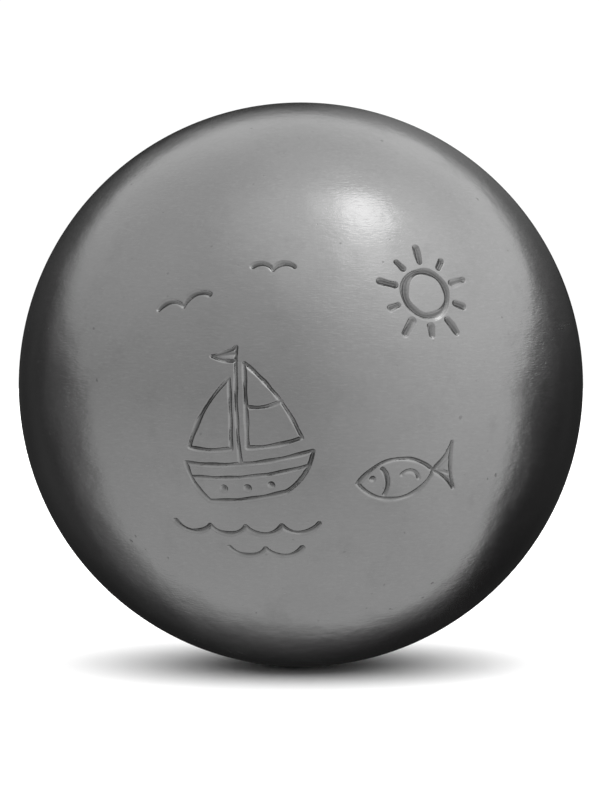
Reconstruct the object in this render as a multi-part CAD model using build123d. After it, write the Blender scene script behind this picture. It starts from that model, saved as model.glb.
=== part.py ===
from build123d import *
import os
from math import radians, tan

# Petanque boule: a hollow steel ball, made of two pressed half shells that are welded round the middle.
#
# The ball is centred on the origin with +Z up. The joint lies in the XZ plane, so Y is the axis that the
# two shells share. The front shell, which carries the engraving, faces -Y. Sizes are in millimetres.
#
# A disc of hot steel is pressed into a cup, and the cup's mouth is bored, faced and bevelled on a lathe.
# The front cup's lip then enters a recess in the rear cup. The lip makes the cups true to each other and
# backs the weld, whose root run and fill run close the groove before the whole ball is turned round.

# Ball
BALL_DIAMETER = 74.0
WALL_THICKNESS = 6.0
STEEL_DENSITY_G_PER_MM3 = 0.00785

# Bored mouth of each cup, which leaves its wall this much thicker there than elsewhere
MOUTH_THICKENING = 0.4

# Lip of the front cup, as thick as this share of the wall at the mouth, and the rear cup's recess for it
LIP_THICKNESS_SHARE = 0.25
LIP_LENGTH = 1.6
LIP_CLEARANCE = 0.05
RECESS_END_CLEARANCE = 0.2

# Faces that meet outside the lip, also a share of that wall, and the groove that the weld fills above them
LAND_THICKNESS_SHARE = 0.15
GROOVE_FLOOR_WIDTH = 1.2
GROOVE_SIDE_ANGLE_DEG = 30.0

# Root run, as high as this share of the groove's depth, with a dished outer side
ROOT_RUN_HEIGHT_SHARE = 0.4
ROOT_RUN_DISH = 0.25

# How far every cutting outline reaches past the ball
OVERRUN = 1.0

BALL_RADIUS = BALL_DIAMETER / 2
CAVITY_RADIUS = BALL_RADIUS - WALL_THICKNESS
MOUTH_WALL = WALL_THICKNESS + MOUTH_THICKENING
BORE_RADIUS = BALL_RADIUS - MOUTH_WALL
LIP_RADIUS = BORE_RADIUS + LIP_THICKNESS_SHARE * MOUTH_WALL
RECESS_RADIUS = LIP_RADIUS + LIP_CLEARANCE
RECESS_DEPTH = LIP_LENGTH + RECESS_END_CLEARANCE
GROOVE_FLOOR_RADIUS = RECESS_RADIUS + LAND_THICKNESS_SHARE * MOUTH_WALL
ROOT_RUN_HEIGHT = ROOT_RUN_HEIGHT_SHARE * (BALL_RADIUS - GROOVE_FLOOR_RADIUS)
REACH = BALL_RADIUS + OVERRUN

FRONT = -1
REAR = 1


def turned(outline):
    """Solid of revolution about Y. The outline's corners are (radius, place along Y)."""
    return revolve(make_face(Polyline(*outline, close=True)), Axis.Y)


def groove_half_width(radius):
    """Half the welding groove's width, at a radius from the shells' axis."""
    flare = (radius - GROOVE_FLOOR_RADIUS) * tan(radians(GROOVE_SIDE_ANGLE_DEG))
    return GROOVE_FLOOR_WIDTH / 2 + flare


def cavity():
    """The hollow: round, and narrowed to the bore of the two mouths where they meet."""
    bore = turned([(0, -REACH), (BORE_RADIUS, -REACH), (BORE_RADIUS, REACH), (0, REACH)])
    return Sphere(CAVITY_RADIUS) & bore


def half_shell(side, register_radius, register_end):
    """Cup on one side of the joint, FRONT or REAR.

    Inside register_radius its metal ends at register_end, a place along Y past the joint: there it is the
    end of the front cup's lip, and on the rear cup the bottom of the recess.
    """
    stretch = turned(
        [
            (0, register_end),
            (register_radius, register_end),
            (register_radius, 0),
            (GROOVE_FLOOR_RADIUS, 0),
            (GROOVE_FLOOR_RADIUS, side * GROOVE_FLOOR_WIDTH / 2),
            (REACH, side * groove_half_width(REACH)),
            (REACH, side * REACH),
            (0, side * REACH),
        ]
    )
    return (Sphere(BALL_RADIUS) - cavity()) & stretch


def front_half_shell():
    """Cup that faces -Y, with the lip."""
    return half_shell(FRONT, LIP_RADIUS, LIP_LENGTH)


def rear_half_shell():
    """Cup that faces +Y, with the recess."""
    return half_shell(REAR, RECESS_RADIUS, RECESS_DEPTH)


def weld_root_run():
    """First run of weld, laid on the groove's floor."""
    top_radius = GROOVE_FLOOR_RADIUS + ROOT_RUN_HEIGHT
    top_half_width = groove_half_width(top_radius)
    floor_half_width = GROOVE_FLOOR_WIDTH / 2
    sides = Polyline(
        (top_radius, -top_half_width),
        (GROOVE_FLOOR_RADIUS, -floor_half_width),
        (GROOVE_FLOOR_RADIUS, floor_half_width),
        (top_radius, top_half_width),
    )
    dish = ThreePointArc(sides @ 1, (top_radius - ROOT_RUN_DISH, 0), sides @ 0)
    return revolve(make_face(sides + dish), Axis.Y)


def weld_fill_run(root_run):
    """Last run of weld, which fills the rest of the groove and is turned flush with the ball."""
    groove = turned(
        [
            (GROOVE_FLOOR_RADIUS, FRONT * GROOVE_FLOOR_WIDTH / 2),
            (REACH, FRONT * groove_half_width(REACH)),
            (REACH, REAR * groove_half_width(REACH)),
            (GROOVE_FLOOR_RADIUS, REAR * GROOVE_FLOOR_WIDTH / 2),
        ]
    )
    poles_on_axis = (90, 0, 0)
    return (groove & Sphere(BALL_RADIUS, rotation=poles_on_axis)) - root_run


def main():
    root_run = weld_root_run()
    pieces = {
        "front_half_shell": front_half_shell(),
        "rear_half_shell": rear_half_shell(),
        "weld_root_run": root_run,
        "weld_fill_run": weld_fill_run(root_run),
    }
    os.makedirs("parts", exist_ok=True)
    for name, piece in pieces.items():
        export_step(piece, f"parts/{name}.step")
    steel_volume = sum(piece.volume for piece in pieces.values())
    print(f"{steel_volume:.0f} mm3 of steel, {steel_volume * STEEL_DENSITY_G_PER_MM3:.0f} g")


main()
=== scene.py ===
# %% [markdown]
# # A petanque boule in satin steel
#
# The boule is a hollow steel ball, welded from two half shells. Its front half carries a drawing that was
# cut into the metal, and all of it has the soft gloss of brushed steel. This lesson dresses the packed
# model: it makes each half shell as one closed mesh, cuts the drawing into the front one, gives the steel
# its finish, and lights the ball as a small product studio would.

# %% Load the frame
import math

import bmesh
import bpy
import numpy as np
from mathutils import Matrix, Vector


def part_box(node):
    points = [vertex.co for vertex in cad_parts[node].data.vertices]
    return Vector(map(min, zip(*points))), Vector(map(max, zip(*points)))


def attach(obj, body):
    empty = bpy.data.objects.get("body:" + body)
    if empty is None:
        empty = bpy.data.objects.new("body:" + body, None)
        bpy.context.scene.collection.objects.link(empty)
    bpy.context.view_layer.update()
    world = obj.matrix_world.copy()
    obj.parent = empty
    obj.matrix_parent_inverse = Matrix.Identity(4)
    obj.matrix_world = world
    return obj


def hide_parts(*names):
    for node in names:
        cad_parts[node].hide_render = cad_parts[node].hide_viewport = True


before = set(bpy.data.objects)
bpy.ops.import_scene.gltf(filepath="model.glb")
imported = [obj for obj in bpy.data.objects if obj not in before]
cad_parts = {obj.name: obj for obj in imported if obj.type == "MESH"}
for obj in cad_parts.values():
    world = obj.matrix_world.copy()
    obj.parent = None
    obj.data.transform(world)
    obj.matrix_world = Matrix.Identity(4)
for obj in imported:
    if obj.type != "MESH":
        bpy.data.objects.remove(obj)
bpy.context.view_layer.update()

print("nodes:", ", ".join(sorted(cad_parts)))

# %% [markdown]
# ## Sizes
#
# Everything is in metres, with the ball's centre at the origin. The overall size is read from the frame, so
# that the dressed ball can't differ from the model. The joint's own sizes repeat the model's, because they
# are hidden inside it and can't be read from a box.

# %% Sizes of the ball and its joint
MM = 0.001
low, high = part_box("weld_fill_run")
BALL_RADIUS = (high.z - low.z) / 2
WALL = 6.0 * MM
MOUTH_WALL = 6.4 * MM
LIP_LENGTH = 1.6 * MM
REGISTER_CLEARANCE = 0.05 * MM
RECESS_DEPTH = 1.8 * MM
GROOVE_FLOOR_WIDTH = 1.2 * MM
GROOVE_SIDE_ANGLE = math.radians(30)
ROOT_RUN_DISH = 0.25 * MM
LIP_SHARE = 0.25  # of the mouth's wall
LAND_SHARE = 0.15  # of the mouth's wall
ROOT_RUN_SHARE = 0.4  # of the groove's height
FRONT, REAR = -1, 1

BORE_RADIUS = BALL_RADIUS - MOUTH_WALL
CAVITY_RADIUS = BALL_RADIUS - WALL
LIP_RADIUS = BORE_RADIUS + LIP_SHARE * MOUTH_WALL
RECESS_RADIUS = LIP_RADIUS + REGISTER_CLEARANCE
GROOVE_FLOOR_RADIUS = RECESS_RADIUS + LAND_SHARE * MOUTH_WALL
ROOT_RUN_TOP_RADIUS = GROOVE_FLOOR_RADIUS + ROOT_RUN_SHARE * (BALL_RADIUS - GROOVE_FLOOR_RADIUS)


# %% Find the welding groove's edge
EDGE_ROUNDS = 20


def groove_half_width(radius):
    """Half the welding groove's width, at a radius from the axis that the two shells share."""
    return GROOVE_FLOOR_WIDTH / 2 + (radius - GROOVE_FLOOR_RADIUS) * math.tan(GROOVE_SIDE_ANGLE)


def groove_edge():
    """(radius, half width) of the groove where it comes out of the ball. Each round comes nearer to it."""
    radius = BALL_RADIUS
    for _ in range(EDGE_ROUNDS):
        half_width = groove_half_width(radius)
        radius = math.sqrt(BALL_RADIUS**2 - half_width**2)
    return radius, half_width


EDGE_RADIUS, EDGE_HALF_WIDTH = groove_edge()
print(f"ball {2 * BALL_RADIUS / MM:.2f} mm across, weld band {2 * EDGE_HALF_WIDTH / MM:.2f} mm wide")

# %% [markdown]
# ## Half shells
#
# A shell is a dome with a thick wall. A sphere from a grid of meridians would crowd its faces together at
# the pole, just where the drawing is, so the dome starts from an icosphere, whose faces are all alike. A
# plane cuts it where the welding groove begins. The open edge is then extruded, ring after ring, down the
# groove's side, through the joint and round the hollow, so each shell ends as one closed mesh.

# %% Cut a dome from an icosphere
DOME_SUBDIVISIONS = 7
CUT_TOLERANCE = 1e-7
MERGE_DISTANCE = 0.12 * MM


def points_of(edges):
    """Each point of some edges once, in the edges' order, so that every run builds the same mesh."""
    return list(dict.fromkeys(point for edge in edges for point in edge.verts))


def cut_dome(mesh, side):
    """Half an icosphere on one side of the joint. Returns the edges of its open rim."""
    bmesh.ops.create_icosphere(mesh, subdivisions=DOME_SUBDIVISIONS, radius=BALL_RADIUS)
    cut = bmesh.ops.bisect_plane(
        mesh,
        geom=mesh.verts[:] + mesh.edges[:] + mesh.faces[:],
        dist=CUT_TOLERANCE,
        plane_co=(0, side * EDGE_HALF_WIDTH, 0),
        plane_no=(0, side, 0),
        clear_inner=True,
    )
    rim = [item for item in cut["geom_cut"] if isinstance(item, bmesh.types.BMEdge)]
    # The cut leaves some points almost on top of each other
    bmesh.ops.remove_doubles(mesh, verts=points_of(rim), dist=MERGE_DISTANCE)
    return [edge for edge in mesh.edges if edge.is_boundary]


# %% Extrude an open edge, ring after ring
CAVITY_RINGS = 14


def move_ring(points, radius, along):
    """Puts a ring of points at a radius from the Y axis and a place along it."""
    for point in points:
        around = Vector((point.co.x, 0, point.co.z)).normalized()
        point.co = around * radius + Vector((0, along, 0))


def extrude_ring(mesh, ring, radius, along, sharp):
    """Extrudes a ring of edges to a new radius and place. Returns the new ring."""
    made = bmesh.ops.extrude_edge_only(mesh, edges=ring)["geom"]
    new_ring = [item for item in made if isinstance(item, bmesh.types.BMEdge) and item.is_boundary]
    move_ring(points_of(new_ring), radius, along)
    for edge in new_ring:
        edge.smooth = not sharp
    return new_ring


def joint_outline(side):
    """Corners (radius, place along Y) from the groove's edge to the mouth of the hollow."""
    floor_end = side * GROOVE_FLOOR_WIDTH / 2
    lip_radius, lip_end = (LIP_RADIUS, LIP_LENGTH) if side == FRONT else (RECESS_RADIUS, RECESS_DEPTH)
    return [
        (GROOVE_FLOOR_RADIUS, floor_end),
        (GROOVE_FLOOR_RADIUS, 0),
        (lip_radius, 0),
        (lip_radius, lip_end),
        (BORE_RADIUS, lip_end),
    ]


def hollow_rings(side):
    """(radius, place along Y) of the rings from the bore's end to near the hollow's pole."""
    start = math.acos(BORE_RADIUS / CAVITY_RADIUS)
    rings = []
    for index in range(CAVITY_RINGS):
        angle = start + (math.pi / 2 - start) * index / CAVITY_RINGS
        rings.append((CAVITY_RADIUS * math.cos(angle), side * CAVITY_RADIUS * math.sin(angle)))
    return rings


# %% Make a shell from its dome
def shell_mesh(side):
    """Closed mesh of one half shell, smooth on the outside."""
    mesh = bmesh.new()
    ring = cut_dome(mesh, side)
    move_ring(points_of(ring), EDGE_RADIUS, side * EDGE_HALF_WIDTH)
    for edge in ring:
        edge.smooth = False
    for radius, along in joint_outline(side):
        ring = extrude_ring(mesh, ring, radius, along, sharp=True)
    for index, (radius, along) in enumerate(hollow_rings(side)):
        ring = extrude_ring(mesh, ring, radius, along, sharp=index == 0)
    bmesh.ops.pointmerge(mesh, verts=points_of(ring), merge_co=(0, side * CAVITY_RADIUS, 0))
    bmesh.ops.triangulate(mesh, faces=mesh.faces[:])
    bmesh.ops.recalc_face_normals(mesh, faces=mesh.faces[:])
    return mesh


# %% Put a finished mesh in the scene
def add_piece(name, mesh):
    """Object at the origin that holds a bmesh, with smooth faces."""
    for face in mesh.faces:
        face.smooth = True
    open_edges = sum(not edge.is_manifold for edge in mesh.edges)
    data = bpy.data.meshes.new(name)
    mesh.to_mesh(data)
    mesh.free()
    piece = bpy.data.objects.new(name, data)
    bpy.context.scene.collection.objects.link(piece)
    print(f"{name}: {len(data.polygons)} faces, {open_edges} open edges")
    return piece


# %% [markdown]
# ## The drawing
#
# The front is engraved with a drawing of the seaside: a boat, a sun, a fish, two gulls and some waves. A
# small pointed cutter follows it, led by hand, so it leans to one side and bears down unevenly. The lines
# could be curve objects, but all that the cut needs is how far a point of the dome is from them. So each line
# is a chain of straight or bowed runs, and the whole drawing is a short table. Bows are given as a share of
# half the run's length, to the left of the way it is drawn.

# %% Outlines, as shares of each figure's size
HULL_SHARES = [
    (-0.46, -0.21, -0.09),
    (0.50, -0.18, 0.22),
    (0.27, -0.43, 0.07),
    (-0.31, -0.46, 0.17),
    (-0.46, -0.21, 0),
]
HULL_BAND_SHARES = [(-0.42, -0.30, -0.08), (0.44, -0.275, 0)]
MAST_SHARES = [(-0.04, -0.235, 0.015), (-0.01, 0.50, 0)]
MAINSAIL_SHARES = [
    (0.045, 0.40, 0.14),
    (0.43, -0.09, 0.09),
    (0.025, -0.13, -0.02),
    (0.045, 0.40, 0),
]
SAIL_SEAM_SHARES = [(0.04, 0.13, -0.16), (0.305, 0.15, 0)]
JIB_SHARES = [
    (-0.075, 0.31, 0.03),
    (-0.10, -0.13, 0.10),
    (-0.42, -0.11, 0.13),
    (-0.075, 0.31, 0),
]
PENNANT_SHARES = [(-0.01, 0.50, 0.12), (-0.20, 0.452, -0.12), (-0.013, 0.415, 0)]
PORTHOLE_SHARES = [(-0.19, -0.385), (-0.01, -0.39), (0.17, -0.378)]
FISH_BODY_SHARES = [(-0.50, 0.02, 0.50), (0.27, 0.0, 0.56), (-0.50, 0.02, 0)]
FISH_TAIL_SHARES = [(0.27, 0.0, -0.14), (0.50, 0.35, -0.14), (0.48, -0.33, -0.14), (0.27, 0.0, 0)]
FISH_GILL_SHARES = [(-0.25, 0.18, 0.34), (-0.25, -0.20, 0)]
FISH_FIN_SHARES = [(-0.06, 0.05, 0.55), (0.11, -0.05, 0)]
FISH_EYE_SHARES = [(-0.355, 0.06)]
PENNANT_HATCHING_SHARES = [[(-0.15, 0.45, 0.05), (-0.02, 0.458, 0)]]
TAIL_HATCHING_SHARES = [
    [(0.31, 0.04, -0.1), (0.46, 0.24, 0)],
    [(0.33, 0.01, 0), (0.43, 0.10, 0)],
    [(0.33, -0.02, 0), (0.42, -0.09, 0)],
    [(0.31, -0.04, 0.1), (0.44, -0.22, 0)],
]
GULL_SHARES = [(-0.50, -0.06, 0.46), (0.0, -0.10, 0.46), (0.50, 0.05, 0)]
print("hull and sails:", len(HULL_SHARES) + len(MAINSAIL_SHARES) + len(JIB_SHARES), "points")


# %% Turn shares into strokes
def scaled(shares, width, height):
    """Chain of (x, y, bow), with x and y in metres."""
    return [(x * width, y * height, bow) for x, y, bow in shares]


def dots(shares, width, height):
    """Places where the cutter only plunges: chains without length."""
    return [[(x * width, y * height, 0), (x * width, y * height, 0)] for x, y in shares]


def sun_chains(ring_diameter, ray_start, long_tip, short_tip, ray_count):
    """Ring of two half circles, and long and short rays in turn. Each size is a diameter round its middle."""
    ring_radius = ring_diameter / 2
    chains = [[(-ring_radius, 0, 1), (ring_radius, 0, 1), (-ring_radius, 0, 0)]]
    for index in range(ray_count):
        tip = short_tip if index % 2 else long_tip
        heading = 2 * math.pi * index / ray_count
        towards = (math.sin(heading), math.cos(heading))
        chains.append([(towards[0] * r / 2, towards[1] * r / 2, 0) for r in (ray_start, tip)])
    return chains


def wave_chain(trough_count, crest_pitch, trough_depth):
    """Troughs between sharp crests."""
    half_length = trough_count * crest_pitch / 2
    bow = -trough_depth / (crest_pitch / 2)
    return [(index * crest_pitch - half_length, 0, bow) for index in range(trough_count + 1)]


# %% Figures, as lists of cutter strokes
BOAT_WIDTH = 17 * MM
BOAT_HEIGHT = 20 * MM
FISH_LENGTH = 13 * MM
FISH_HEIGHT = 9 * MM
NEAR_GULL_SPAN = 7 * MM
FAR_GULL_SPAN = 5.2 * MM
WAVE_PITCH = 4.6 * MM
WAVE_DEPTH = 1.1 * MM

boat_chains = [
    scaled(shares, BOAT_WIDTH, BOAT_HEIGHT)
    for shares in (
        HULL_SHARES,
        HULL_BAND_SHARES,
        MAST_SHARES,
        MAINSAIL_SHARES,
        SAIL_SEAM_SHARES,
        JIB_SHARES,
        PENNANT_SHARES,
    )
]
fish_chains = [
    scaled(shares, FISH_LENGTH, FISH_HEIGHT)
    for shares in (FISH_BODY_SHARES, FISH_TAIL_SHARES, FISH_GILL_SHARES, FISH_FIN_SHARES)
]

portholes = dots(PORTHOLE_SHARES, BOAT_WIDTH, BOAT_HEIGHT)
fish_eye = dots(FISH_EYE_SHARES, FISH_LENGTH, FISH_HEIGHT)
pennant_hatching = [scaled(shares, BOAT_WIDTH, BOAT_HEIGHT) for shares in PENNANT_HATCHING_SHARES]
tail_hatching = [scaled(shares, FISH_LENGTH, FISH_HEIGHT) for shares in TAIL_HATCHING_SHARES]
sun = sun_chains(
    ring_diameter=6 * MM,
    ray_start=8.6 * MM,
    long_tip=12.4 * MM,
    short_tip=10.8 * MM,
    ray_count=10,
)
print("strokes of the boat:", len(boat_chains), "fish:", len(fish_chains), "sun:", len(sun))

# %% Places and strokes of the figures
BOAT_PLACE, BOAT_TILT = (-11.5, -5.0), 4.0
FISH_PLACE, FISH_TILT = (22.0, -15.0), 10.0

# Each figure: its chains, the stroke's width and depth, its place as degrees right and up, and its tilt
FIGURES = [
    (boat_chains, 0.66 * MM, 0.40 * MM, BOAT_PLACE, BOAT_TILT),
    (portholes, 1.0 * MM, 0.48 * MM, BOAT_PLACE, BOAT_TILT),
    (sun, 1.05 * MM, 0.48 * MM, (27.0, 21.0), 0.0),
    (fish_chains, 0.66 * MM, 0.40 * MM, FISH_PLACE, FISH_TILT),
    (pennant_hatching, 1.10 * MM, 0.30 * MM, BOAT_PLACE, BOAT_TILT),
    (tail_hatching, 0.90 * MM, 0.30 * MM, FISH_PLACE, FISH_TILT),
    (fish_eye, 0.95 * MM, 0.44 * MM, FISH_PLACE, FISH_TILT),
    ([scaled(GULL_SHARES, NEAR_GULL_SPAN, NEAR_GULL_SPAN)], 0.85 * MM, 0.42 * MM, (-25.0, 19.5), 12.0),
    ([scaled(GULL_SHARES, FAR_GULL_SPAN, FAR_GULL_SPAN)], 0.75 * MM, 0.40 * MM, (-6.0, 27.0), -6.0),
    ([wave_chain(4, WAVE_PITCH, WAVE_DEPTH)], 0.85 * MM, 0.46 * MM, (-12.0, -25.5), 0.0),
    ([wave_chain(2, WAVE_PITCH, WAVE_DEPTH)], 0.80 * MM, 0.46 * MM, (-8.0, -30.5), 0.0),
]
print("figures:", len(FIGURES), "strokes:", sum(len(figure[0]) for figure in FIGURES))

# %% [markdown]
# ## Cutting the drawing
#
# A boolean cut of such fine grooves would leave long thin faces that shade badly on a shiny ball. Here the
# dome's own faces are subdivided near the strokes, three times, and every point under the cutter is pushed
# in by the groove's depth at its distance from the stroke's middle. Points close to the groove's edge are
# first slid onto it, so the edge is a clean line and not a saw. The cutter leans, so a groove has one steep
# side and one shallow side, which catches the light.


# %% Measure how far a point is from a stroke
SHORTEST_SPOKE = 1e-12  # keeps the way from a bow's centre defined
ROUNDING = 1e-9


def nearest_on_run(points, start, end, bow):
    """Nearest place on a straight or bowed run, for each of an array of points in the figure's plane."""
    chord = end - start
    length = np.hypot(*chord)
    if length == 0:
        return np.broadcast_to(start, points.shape)
    if bow == 0:
        share = np.clip((points - start) @ chord / length**2, 0, 1)
        return start + share[:, None] * chord
    rise = bow * length / 2
    radius = (length**2 / 4 + rise**2) / (2 * abs(rise))
    leftward = np.array([-chord[1], chord[0]]) / length
    top_way = leftward * np.sign(rise)
    centre = (start + end) / 2 + top_way * (abs(rise) - radius)
    spokes = points - centre
    spokes /= np.maximum(np.hypot(spokes[:, 0], spokes[:, 1]), SHORTEST_SPOKE)[:, None]
    on_arc = centre + spokes * radius
    beyond = spokes @ top_way < (radius - abs(rise)) / radius - ROUNDING
    nearer_start = ((points - start) ** 2).sum(1) < ((points - end) ** 2).sum(1)
    on_arc[beyond] = np.where(nearer_start[beyond, None], start, end)
    return on_arc


def nearest_on_chains(points, chains):
    """Distance to the nearest stroke of a figure, and the place on it."""
    best = np.full(len(points), np.inf)
    place = np.zeros_like(points)
    for chain in chains:
        for (x0, y0, bow), (x1, y1, _) in zip(chain, chain[1:]):
            candidate = nearest_on_run(points, np.array([x0, y0]), np.array([x1, y1]), bow)
            distance = np.hypot(*(points - candidate).T)
            nearer = distance < best
            best[nearer] = distance[nearer]
            place[nearer] = candidate[nearer]
    return best, place


def figure_axes(place_deg, tilt_deg):
    """(rightward, upward, outward) of a figure's plane, which touches the ball at its place."""
    across, up = (math.radians(angle) for angle in place_deg)
    outward = Vector(
        (math.sin(across) * math.cos(up), -math.cos(across) * math.cos(up), math.sin(up))
    )
    level = Vector((math.cos(across), math.sin(across), 0))
    rightward = Matrix.Rotation(math.radians(tilt_deg), 3, outward) @ level
    return np.array([rightward, outward.cross(rightward), outward])


# %% Find the dome's points near a figure
FACING_SHARE = 0.8  # of the radius: points further along the figure's outward way face it
OUTSIDE_SHARE = 0.98  # of the radius: points further out are on the shell's outside


def near_figure(mesh, axes, chains, reach):
    """Points of the dome that lie within reach of a figure's strokes.

    With them come their places in the figure's plane, their distances from the nearest stroke, and the
    nearest places on it.
    """
    figure_radius = max(math.hypot(x, y) for chain in chains for x, y, _ in chain) + reach
    points = [point for point in mesh.verts if point.co.dot(axes[2]) > BALL_RADIUS * FACING_SHARE]
    places = np.array([point.co for point in points])
    flat = places @ axes[:2].T
    close = np.hypot(*flat.T) < figure_radius
    close &= np.linalg.norm(places, axis=1) > BALL_RADIUS * OUTSIDE_SHARE
    points = [point for point, kept in zip(points, close) if kept]
    flat = flat[close]
    distance, nearest = nearest_on_chains(flat, chains)
    touched = distance < reach
    points = [point for point, kept in zip(points, touched) if kept]
    return points, flat[touched], distance[touched], nearest[touched]


# %% Width and depth under the hand
UNEVENNESS = 0.26
UNEVENNESS_PITCH = 1.1 * MM
LIGHTEST_PRESSURE = 0.66
PRESSURE_PITCH = 1.5 * MM


def widest(width):
    """The most that hand_width makes of a stroke's width."""
    return (1 + UNEVENNESS) * width


def hand_width(flat, width):
    """The stroke's width at places in a figure's plane. The sines' own numbers only keep it irregular."""
    x, y = (flat / UNEVENNESS_PITCH).T
    return width * (1 + UNEVENNESS * np.sin(x + 2 * np.sin(0.7 * y)) * np.cos(0.8 * y - x))


def hand_depth(flat, depth):
    """The stroke's depth at places in a figure's plane, where the hand bears down more or less."""
    x, y = (flat / PRESSURE_PITCH).T
    relief = 0.5 + 0.5 * np.sin(x + 1.7 * np.sin(0.6 * y + 1)) * np.cos(0.9 * y + 0.5 * x)
    return depth * (1 - (1 - LIGHTEST_PRESSURE) * relief)


# %% Subdivide near the strokes
REFINE_MARGINS = (0.5 * MM, 0.25 * MM, 0.06 * MM)
SURFACE_SHARE = 0.99  # of the radius: new points between it and the surface are put on the surface


def refine(mesh, margin):
    """Halves the edges of every outer face that a stroke, widened by margin, touches."""
    chosen = {}
    for chains, width, _, place_deg, tilt_deg in FIGURES:
        axes = figure_axes(place_deg, tilt_deg)
        points = near_figure(mesh, axes, chains, widest(width) / 2 + margin)[0]
        for point in points:
            for face in point.link_faces:
                chosen.update(dict.fromkeys(face.edges))
    bmesh.ops.subdivide_edges(mesh, edges=list(chosen), cuts=1, use_grid_fill=True)
    bmesh.ops.triangulate(mesh, faces=[face for face in mesh.faces if len(face.verts) > 3])
    for point in mesh.verts:
        distance = point.co.length
        clear_of_joint = point.co.y < -2 * EDGE_HALF_WIDTH
        if BALL_RADIUS * SURFACE_SHARE < distance < BALL_RADIUS and clear_of_joint:
            point.co *= BALL_RADIUS / distance


# %% Push the grooves in
EDGE_SLACK = 0.028 * MM
SHORTEST_DISTANCE = 1e-9  # keeps the way from a stroke's middle defined
TIP_ROUNDNESS = 1.45
LEAN = 0.8
STEEP_WAY = np.array([0.6, 0.8])


def on_ball(axes, flat):
    """Places on the ball's surface that lie straight under places in a figure's plane."""
    height = np.sqrt(BALL_RADIUS**2 - (flat**2).sum(1))
    return flat @ axes[:2] + height[:, None] * axes[2]


def groove_depth(across, uphill, depth):
    """Depth under a pointed cutter that leans: the groove's side towards STEEP_WAY is the steep one.

    Across is 0 in the middle and 1 at the edge. Uphill is 1 towards the steep side and -1 away from it.
    """
    return depth * (1 - np.clip(across, 0, 1) ** (TIP_ROUNDNESS + LEAN * uphill))


def engrave(mesh):
    """Cuts every figure into the dome."""
    for margin in REFINE_MARGINS:
        refine(mesh, margin)
    depths = {}
    for chains, width, depth, place_deg, tilt_deg in FIGURES:
        axes = figure_axes(place_deg, tilt_deg)
        reach = widest(width) / 2 + EDGE_SLACK
        points, flat, distance, nearest = near_figure(mesh, axes, chains, reach)
        half_width = hand_width(nearest, width) / 2
        onto_edge = np.abs(distance - half_width) < EDGE_SLACK
        away = (flat - nearest) / np.maximum(distance, SHORTEST_DISTANCE)[:, None]
        slid = nearest + away * half_width[:, None]
        flat[onto_edge] = slid[onto_edge]
        distance[onto_edge] = half_width[onto_edge]
        places = on_ball(axes, flat)
        cuts = groove_depth(distance / half_width, away @ STEEP_WAY, hand_depth(nearest, depth))
        for point, place, cut in zip(points, places, cuts):
            point.co = Vector(place)
            depths[point] = max(cut, depths.get(point, 0))
    for point, cut in depths.items():
        point.co -= point.co.normalized() * cut
    print(f"engraved {len(depths)} points")


# %% Make both shells
front_bmesh = shell_mesh(FRONT)
engrave(front_bmesh)
front_shell = add_piece("engraved_front_shell", front_bmesh)
rear_shell = add_piece("plain_rear_shell", shell_mesh(REAR))

# %% [markdown]
# ## Weld band
#
# The last run of weld fills the groove and is turned flush with the ball, so only a band of slightly other
# steel shows. It could be cut from a sphere by booleans, which would leave uneven faces to clean up. Instead
# its section is drawn once and spun about the shells' axis, which gives a closed ring of even faces.

# %% Spin the weld band
BAND_STEPS = 360
BAND_TOP_RUNS = 8
BAND_FLOOR_RUNS = 6
SPIN_MERGE_DISTANCE = 0.001 * MM
SHARP_ANGLE = math.radians(25)


def arc_points(start, middle_rise, end, runs):
    """Points (radius, place along Y) of a shallow bow from start to end, without the last."""
    points = []
    for index in range(runs):
        share = index / runs
        rise = middle_rise * 4 * share * (1 - share)
        radius = start[0] + (end[0] - start[0]) * share + rise
        along = start[1] + (end[1] - start[1]) * share
        points.append((radius, along))
    return points


def band_section():
    """Closed outline of the weld's fill run."""
    floor_half = groove_half_width(ROOT_RUN_TOP_RADIUS)
    top = []
    for index in range(BAND_TOP_RUNS):
        along = -EDGE_HALF_WIDTH + 2 * EDGE_HALF_WIDTH * index / BAND_TOP_RUNS
        top.append((math.sqrt(BALL_RADIUS**2 - along**2), along))
    floor_start = (ROOT_RUN_TOP_RADIUS, floor_half)
    floor_end = (ROOT_RUN_TOP_RADIUS, -floor_half)
    top.append((EDGE_RADIUS, EDGE_HALF_WIDTH))
    return top + arc_points(floor_start, -ROOT_RUN_DISH, floor_end, BAND_FLOOR_RUNS) + [floor_end]


def band_mesh():
    """Ring that fills the groove from the root run to the ball's surface."""
    mesh = bmesh.new()
    points = [mesh.verts.new((radius, along, 0)) for radius, along in band_section()]
    section = [mesh.edges.new(pair) for pair in zip(points, points[1:] + points[:1])]
    bmesh.ops.spin(
        mesh,
        geom=points + section,
        cent=(0, 0, 0),
        axis=(0, 1, 0),
        angle=2 * math.pi,
        steps=BAND_STEPS,
        use_merge=True,
    )
    bmesh.ops.remove_doubles(mesh, verts=mesh.verts[:], dist=SPIN_MERGE_DISTANCE)
    bmesh.ops.recalc_face_normals(mesh, faces=mesh.faces[:])
    for edge in mesh.edges:
        if edge.calc_face_angle(0) > SHARP_ANGLE:
            edge.smooth = False
    return mesh


weld_band = add_piece("weld_band", band_mesh())

# %% [markdown]
# ## Shader maths
#
# Materials here are written as sums. A small class wraps a socket, so `1 - scratches` adds the Math node
# that it names, and one method adds any other node.


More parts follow.
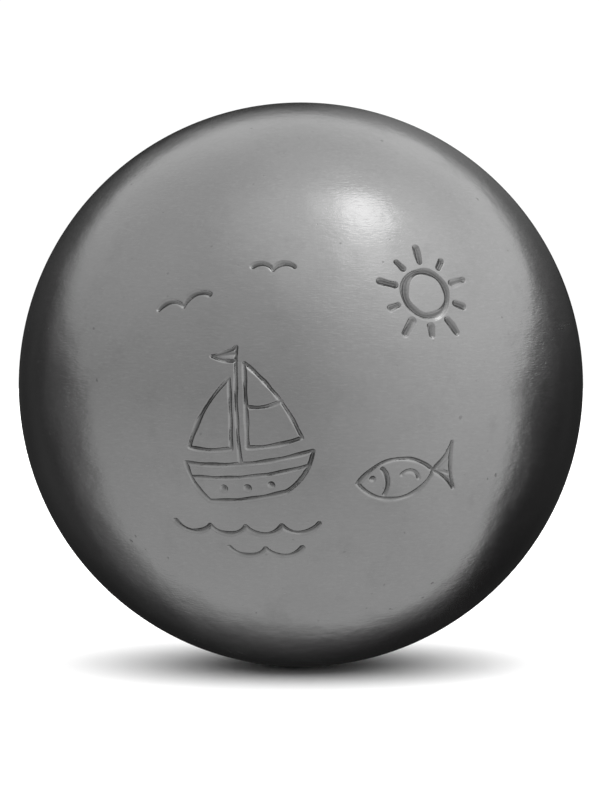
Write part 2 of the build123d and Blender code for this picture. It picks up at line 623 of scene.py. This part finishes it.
# %% Wrap sockets so that Python operators add nodes
class Value:
    """One output socket of a node tree, with the operators that the materials use."""

    def __init__(self, tree, socket):
        self.tree = tree
        self.socket = socket

    def node(self, kind, inputs, settings=()):
        """Adds a node: its settings first, then its sockets by name or index. Returns its first output."""
        made = self.tree.nodes.new(kind)
        for name, setting in settings:
            setattr(made, name, setting)
        for key, value in inputs.items():
            if isinstance(value, Value):
                self.tree.links.new(value.socket, made.inputs[key])
            else:
                made.inputs[key].default_value = value
        return Value(self.tree, made.outputs[0])

    def maths(self, operation, *values):
        """Adds a Math node."""
        return self.node("ShaderNodeMath", dict(enumerate(values)), [("operation", operation)])

    def __add__(self, other):
        return self.maths("ADD", self, other)

    def __radd__(self, other):
        return self.maths("ADD", other, self)

    def __sub__(self, other):
        return self.maths("SUBTRACT", self, other)

    def __rsub__(self, other):
        return self.maths("SUBTRACT", other, self)

    def __mul__(self, other):
        return self.maths("MULTIPLY", self, other)

    def __rmul__(self, other):
        return self.maths("MULTIPLY", other, self)

    def __truediv__(self, other):
        return self.maths("DIVIDE", self, other)

    def __pow__(self, other):
        return self.maths("POWER", self, other)

    def between(self, low, high):
        """0 at low, 1 at high, and smooth between them."""
        settings = [("interpolation_type", "SMOOTHSTEP")]
        inputs = {"Value": self, "From Min": low, "From Max": high}
        return self.node("ShaderNodeMapRange", inputs, settings)


# %% [markdown]
# ## Brushed steel
#
# The ball was brushed while it turned about an upright axis, so its marks run level round it, like lines of
# latitude. A picture of brushed metal could be wrapped round it, but it would show a seam and could only be
# as fine as its pixels. Noise that is long one way and narrow the other gives such marks at any size. They
# are fine, short or broad, with some dashes and long scratches. The noise's coordinates are the two parts of
# the heading round the axis, which have no seam, and the latitude. Here and there some upright marks cross
# them. Under them lie the slow lumps that the press left, and over them slow changes of tone, grime, and
# specks where the steel was pitted. The floor of the cuts was never brushed, so it is rougher and grainy,
# and its colour is darkened with painted shade.


# %% Noises that follow the ball
SMALLEST_SQUARE = 1e-9  # keeps the heading defined at the poles


def ball_directions(x, y, z):
    """Both parts of the heading round the upright axis, and the latitude, of a place on the ball."""
    axis_distance = (x * x + y * y + SMALLEST_SQUARE) ** 0.5
    return x / axis_distance, y / axis_distance, z.maths("ARCTAN2", z, axis_distance)


def brushed(directions, along, across, detail, seed):
    """Noise drawn out round the ball: along and across are how many marks fit in a radian."""
    heading_x, heading_y, latitude = directions
    inputs = {0: heading_x * along, 1: heading_y * along + seed, 2: latitude * across}
    where = latitude.node("ShaderNodeCombineXYZ", inputs)
    return latitude.node("ShaderNodeTexNoise", {"Vector": where, "Scale": 1.0, "Detail": detail})


def mottled(place, size, detail, roughen=0.5):
    """Even noise, whose patches are about size metres across."""
    inputs = {"Vector": place, "Scale": 1 / size, "Detail": detail, "Roughness": roughen}
    return place.node("ShaderNodeTexNoise", inputs)


# %% Build the steel's finish
CUT_ROUGHNESS_AND_SHADE_START, CUT_ROUGHNESS_AND_SHADE_FULL = 0.14 * MM, 0.34 * MM  # depths where a cut's rough, unbrushed steel and its painted shade begin, and are full
RELIEF_DEPTH = 0.05 * MM
RELIEF_STRENGTH = 0.8


def finish_steel(tree, shader, tone, roughness):
    """Links what brushing, wear and cutting left to the shader, and painted shade in the cuts. Each weight is
    a mark's own strength.
    """
    place = Value(tree, tree.nodes.new("ShaderNodeTexCoord").outputs["Object"])
    split = tree.nodes.new("ShaderNodeSeparateXYZ")
    tree.links.new(place.socket, split.inputs[0])
    x, y, z = (Value(tree, socket) for socket in split.outputs)
    directions = ball_directions(x, y, z)

    fine_marks = brushed(directions, along=22, across=130, detail=2, seed=0)
    short_marks = brushed(directions, along=60, across=190, detail=2, seed=7)
    broad_marks = brushed(directions, along=12, across=30, detail=2, seed=9)
    dashes = brushed(directions, along=42, across=170, detail=1, seed=11).between(0.54, 0.70)
    long_scratches = brushed(directions, along=4, across=260, detail=1, seed=3).between(0.66, 0.74)
    crossed = mottled(place, 14 * MM, 1).between(0.46, 0.62)
    upright_marks = brushed(directions, along=260, across=18, detail=2, seed=5) * crossed
    marks = fine_marks * 0.35 + short_marks * 0.38 + dashes * 0.17 + upright_marks * 0.2

    lumps = mottled(place, 5 * MM, 2)
    pits = mottled(place, 0.9 * MM, 1).between(0.755, 0.815)
    clouds = mottled(place, 18 * MM, 3)
    grime = mottled(place, 5 * MM, 4, 0.65).between(0.50, 0.78)
    worked = mottled(place, 12 * MM, 2).between(0.34, 0.62)
    grain = mottled(place, 0.3 * MM, 2)
    sunk = BALL_RADIUS - (x * x + y * y + z * z) ** 0.5
    cut = sunk.between(CUT_ROUGHNESS_AND_SHADE_START, CUT_ROUGHNESS_AND_SHADE_FULL)

    lightness = 0.93 + 0.14 * clouds + 0.26 * (marks - 0.5) - 0.07 * grime - 0.2 * pits
    # Painted shade: the grey is darkened where a cut is deep.
    grey = tone * lightness * (1 - 0.45 * cut)
    colour = x.node("ShaderNodeCombineColor", {0: grey, 1: grey, 2: grey})
    tree.links.new(colour.socket, shader.inputs["Base Color"])

    rough = roughness + 0.12 * (marks - 0.5) + 0.10 * (clouds - 0.5)
    rough = rough + 0.06 * grime + 0.04 * long_scratches + 0.12 * cut
    tree.links.new(rough.socket, shader.inputs["Roughness"])

    height = marks * (0.3 + 0.37 * worked) + broad_marks * 0.45
    height = height - pits * 0.5 + lumps * 1.8 + cut * grain * 1.5
    relief = {"Strength": RELIEF_STRENGTH, "Distance": RELIEF_DEPTH, "Height": height}
    tree.links.new(x.node("ShaderNodeBump", relief).socket, shader.inputs["Normal"])


def steel_material(name, tone, roughness):
    """Satin steel. Tone is the metal's linear grey."""
    material = bpy.data.materials.new(name)
    material.use_nodes = True
    tree = material.node_tree
    tree.nodes.clear()
    output = tree.nodes.new("ShaderNodeOutputMaterial")
    shader = tree.nodes.new("ShaderNodeBsdfPrincipled")
    tree.links.new(shader.outputs[0], output.inputs[0])
    shader.inputs["Metallic"].default_value = 1.0
    finish_steel(tree, shader, tone, roughness)
    print(f"{name}: {len(tree.nodes)} nodes")
    return material


# %% Give each piece its steel
SHELL_TONE, SHELL_ROUGHNESS = 0.26, 0.20
WELD_TONE, WELD_ROUGHNESS = 0.245, 0.23
shell_steel = steel_material("satin_shell_steel", SHELL_TONE, SHELL_ROUGHNESS)
weld_steel = steel_material("satin_weld_steel", WELD_TONE, WELD_ROUGHNESS)
for piece in (front_shell, rear_shell):
    piece.data.materials.append(shell_steel)
weld_band.data.materials.append(weld_steel)
root_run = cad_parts["weld_root_run"]
root_run.data.materials.clear()
root_run.data.materials.append(weld_steel)

# %% [markdown]
# ## Studio
#
# Metal shows little but what is round it, so the room matters as much as the finish. The photograph's ball
# mirrors a bright room in front of it, brighter to the right and above, and a dusky one behind, which is what
# makes its rim dark. The dusk begins further back the higher one looks. It comes on slowly at the left and
# more suddenly at the right, and things that stand there make it uneven. A panoramic picture could stand in
# for the room, but a function of direction needs no file, and one side of it can be changed without the
# others. Every weight in it was set by comparing the ball's rim with the photograph.

# %% The bright side of the room
GLOW_WAY = (0.24, -0.30, 0.92)
GLOW_EDGE = 0.66


def room_sides(x, y, z):
    """How far a direction points right, left, up, down and back, each 0 for the opposite way."""
    rightness = x.maths("MAXIMUM", x, 0.0)
    leftness = x.maths("MAXIMUM", 0.0 - x, 0.0)
    upness = z.maths("MAXIMUM", z, 0.0)
    downness = z.maths("MAXIMUM", 0.0 - z, 0.0)
    backness = y.maths("MAXIMUM", y, 0.0)
    return rightness, leftness, upness, downness, backness


def bright_side(x, y, z):
    """Light that comes from the bright room in front."""
    rightness, leftness, upness, downness, backness = room_sides(x, y, z)
    glow_x, glow_y, glow_z = Vector(GLOW_WAY).normalized()
    glow = (x * glow_x + y * glow_y + z * glow_z).between(GLOW_EDGE, 1.0)
    light = 0.77 + rightness * (0.5 + 0.42 * z - 0.2 * upness) - 0.03 * leftness
    light = light + (0.14 + 0.14 * leftness) * downness
    return light + upness * (0.26 + 0.72 * backness**2) + 0.40 * glow


# %% The dusk behind
SMALLEST_SIDE = 0.001  # keeps the light defined straight behind the ball


def dusk_edge(rightness, leftness, upness, downness):
    """How far back along Y the dusk begins."""
    edge = 0.255 + 1.24 * upness + 0.26 * downness - 0.15 * leftness * downness
    edge = edge + rightness * downness * (0.5 * downness.between(0.52, 0.78) - 0.20)
    edge = edge - 0.07 * rightness + 0.12 * rightness * upness
    edge = edge - 0.04 * rightness * upness.between(0.05, 0.15) * (1 - upness.between(0.22, 0.42))
    return edge - 0.08 * leftness**4


def dusk_steepness(rightness, leftness, upness, downness, backness):
    """How suddenly the room darkens at the dusk's edge."""
    steepness = 6.3 + 42 * (rightness * downness) * (1 - downness) - 1.3 * leftness**4
    return steepness + 65 * rightness * upness * (1 - backness)


def dusky_side(x, y, z):
    """Light that comes from the dusk behind."""
    rightness, leftness, upness, downness, backness = room_sides(x, y, z)
    edge = dusk_edge(rightness, leftness, upness, downness)
    steepness = dusk_steepness(rightness, leftness, upness, downness, backness)
    fading = x.maths("EXPONENT", steepness * (edge - y))
    light = 0.012 + 0.42 * fading + 0.05 * (rightness + leftness) - 0.02 * downness
    light = light + 0.3 * rightness * upness
    light = light + 0.46 * rightness * upness**2 / (x * x + z * z + SMALLEST_SIDE) ** 1.5
    stretched = x.node("ShaderNodeCombineXYZ", {0: 2 * x, 1: 7 * y, 2: 3 * z})
    clutter = x.node("ShaderNodeTexNoise", {"Vector": stretched, "Scale": 1.0, "Detail": 3})
    return light * (0.72 + 0.54 * clutter.between(0.3, 0.7))


# %% [markdown]
# The steel mirrors that room. The camera itself sees white behind the ball, as in a light box, and the floor
# gets an even sky. Light that would reach the floor by way of the steel is left out, which keeps the shadow
# dark at the ball's foot.

# %% Light the room
CAMERA_WHITE = 1.05  # a little over white, so that denoising leaves no grey in it
FLOOR_SKY = 0.76


def build_world():
    """World that the steel, the camera and the floor each see in their own way."""
    world = bpy.data.worlds.new("light_box")
    bpy.context.scene.world = world
    world.use_nodes = True
    tree = world.node_tree
    tree.nodes.clear()
    output = tree.nodes.new("ShaderNodeOutputWorld")
    direction = tree.nodes.new("ShaderNodeTexCoord")
    split = tree.nodes.new("ShaderNodeSeparateXYZ")
    tree.links.new(direction.outputs["Generated"], split.inputs[0])
    x, y, z = (Value(tree, socket) for socket in split.outputs)
    room = x.maths("MINIMUM", bright_side(x, y, z), dusky_side(x, y, z))

    ray = tree.nodes.new("ShaderNodeLightPath")
    seen = Value(tree, ray.outputs["Is Camera Ray"])
    from_floor = x.maths("MINIMUM", Value(tree, ray.outputs["Diffuse Depth"]), 1.0)
    straight_from_floor = Value(tree, ray.outputs["Is Diffuse Ray"])
    mirrored = room * (1 - seen - from_floor)
    strength = mirrored + CAMERA_WHITE * seen + FLOOR_SKY * straight_from_floor
    background = tree.nodes.new("ShaderNodeBackground")
    background.inputs["Color"].default_value = (1, 1, 1, 1)
    tree.links.new(strength.socket, background.inputs["Strength"])
    tree.links.new(background.outputs[0], output.inputs[0])
    print(f"room: {len(tree.nodes)} nodes")


build_world()

# %% [markdown]
# Three round softboxes make the highlight: the main one its core, a weaker one its slow fading to the left,
# and another the part that is drawn out downwards. A wide panel overhead lights only the floor. Its size and
# its slant give the shadow the photographed softness.

# %% Lamps
# Each lamp: its name, its direction from the ball, its distance, its width and depth, its power in watts, and
# whether the steel mirrors it
LAMPS = [
    ("overhead_softbox", (0.354, -0.157, 0.922), 0.6, (0.18, 0.18), 0.122, True),
    ("side_softbox", (0.208, -0.19, 0.96), 0.6, (0.20, 0.20), 0.045, True),
    ("front_softbox", (0.37, -0.42, 0.82), 0.6, (0.20, 0.20), 0.05, True),
    ("ceiling_panel", (0, -0.16, 1), 0.9, (3.9, 2.55), 50, False),
]


def add_lamp(name, towards, distance, size, power, mirrored):
    """Round or oval lamp that faces the ball from a direction."""
    lamp = bpy.data.lights.new(name, "AREA")
    lamp.shape = "ELLIPSE"
    lamp.size, lamp.size_y = size
    lamp.energy = power
    holder = bpy.data.objects.new(name, lamp)
    way = Vector(towards).normalized()
    turn = way.to_track_quat("Z", "Y").to_matrix().to_4x4()
    holder.matrix_world = Matrix.Translation(way * distance) @ turn
    holder.visible_glossy = mirrored
    bpy.context.scene.collection.objects.link(holder)
    print(f"{name}: {power} W")


for lamp_row in LAMPS:
    add_lamp(*lamp_row)

# %% [markdown]
# ## Floor and camera
#
# The ball lies on a pale floor, which only shows as the soft shadow at its foot. The camera stands a little
# above the ball's middle, far away, with a long lens, so that the ball fills the frame as it does in the
# photograph. How far above is read from the shadow, which looks the flatter the lower the camera is.

# %% Floor
FLOOR_HALF_SIZE = 0.6
FLOOR_GREY = 0.9
FLOOR_ROUGHNESS = 0.9


def floor_material():
    """Pale floor without gloss."""
    material = bpy.data.materials.new("pale_floor")
    material.use_nodes = True
    shader = material.node_tree.nodes["Principled BSDF"]
    shader.inputs["Base Color"].default_value = (FLOOR_GREY, FLOOR_GREY, FLOOR_GREY, 1)
    shader.inputs["Roughness"].default_value = FLOOR_ROUGHNESS
    shader.inputs["Specular IOR Level"].default_value = 0.0
    return material


floor_bmesh = bmesh.new()
bmesh.ops.create_grid(
    floor_bmesh,
    x_segments=1,
    y_segments=1,
    size=FLOOR_HALF_SIZE,
    matrix=Matrix.Translation((0, 0, -BALL_RADIUS)),
)
floor = add_piece("floor", floor_bmesh)
floor.data.materials.append(floor_material())
floor.visible_glossy = False

# %% Camera
IMAGE_WIDTH, IMAGE_HEIGHT = 600, 800
BALL_CENTRE_PX = (300.88, 384.64)
BALL_RADIUS_PX = 282.26
CAMERA_DISTANCE = 0.70
CAMERA_ELEVATION = math.radians(3.6)
SENSOR_WIDTH = 36  # millimetres
NEAREST_SEEN = 0.01

camera_data = bpy.data.cameras.new("photo_camera")
camera = bpy.data.objects.new("photo_camera", camera_data)
bpy.context.scene.collection.objects.link(camera)
focal_px = BALL_RADIUS_PX / math.tan(math.asin(BALL_RADIUS / CAMERA_DISTANCE))
camera_data.sensor_width = SENSOR_WIDTH
camera_data.sensor_fit = "AUTO"
camera_data.lens = focal_px * SENSOR_WIDTH / max(IMAGE_WIDTH, IMAGE_HEIGHT)
camera_data.clip_start = NEAREST_SEEN
backward = Vector((0, -math.cos(CAMERA_ELEVATION), math.sin(CAMERA_ELEVATION)))
upward = Vector((0, math.sin(CAMERA_ELEVATION), math.cos(CAMERA_ELEVATION)))
offset_right = (IMAGE_WIDTH / 2 - BALL_CENTRE_PX[0]) / focal_px * CAMERA_DISTANCE
offset_up = (BALL_CENTRE_PX[1] - IMAGE_HEIGHT / 2) / focal_px * CAMERA_DISTANCE
target = Vector((offset_right, 0, 0)) + upward * offset_up
camera_turn = backward.to_track_quat("Z", "Y").to_matrix().to_4x4()
camera.matrix_world = Matrix.Translation(target + backward * CAMERA_DISTANCE) @ camera_turn
bpy.context.scene.camera = camera
bpy.context.scene.view_settings.view_transform = "Standard"
print(f"lens {camera_data.lens:.0f} mm at {CAMERA_DISTANCE} m")

# %% [markdown]
# ## Hand over
#
# Every piece rides on the ball's one body and stands for the node that it dresses, which is hidden.

# %% Ride and replace
for piece, node, slot in (
    (front_shell, "front_half_shell", "shell_steel"),
    (rear_shell, "rear_half_shell", "shell_steel"),
    (weld_band, "weld_fill_run", "weld_steel"),
):
    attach(piece, "root")
    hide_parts(node)
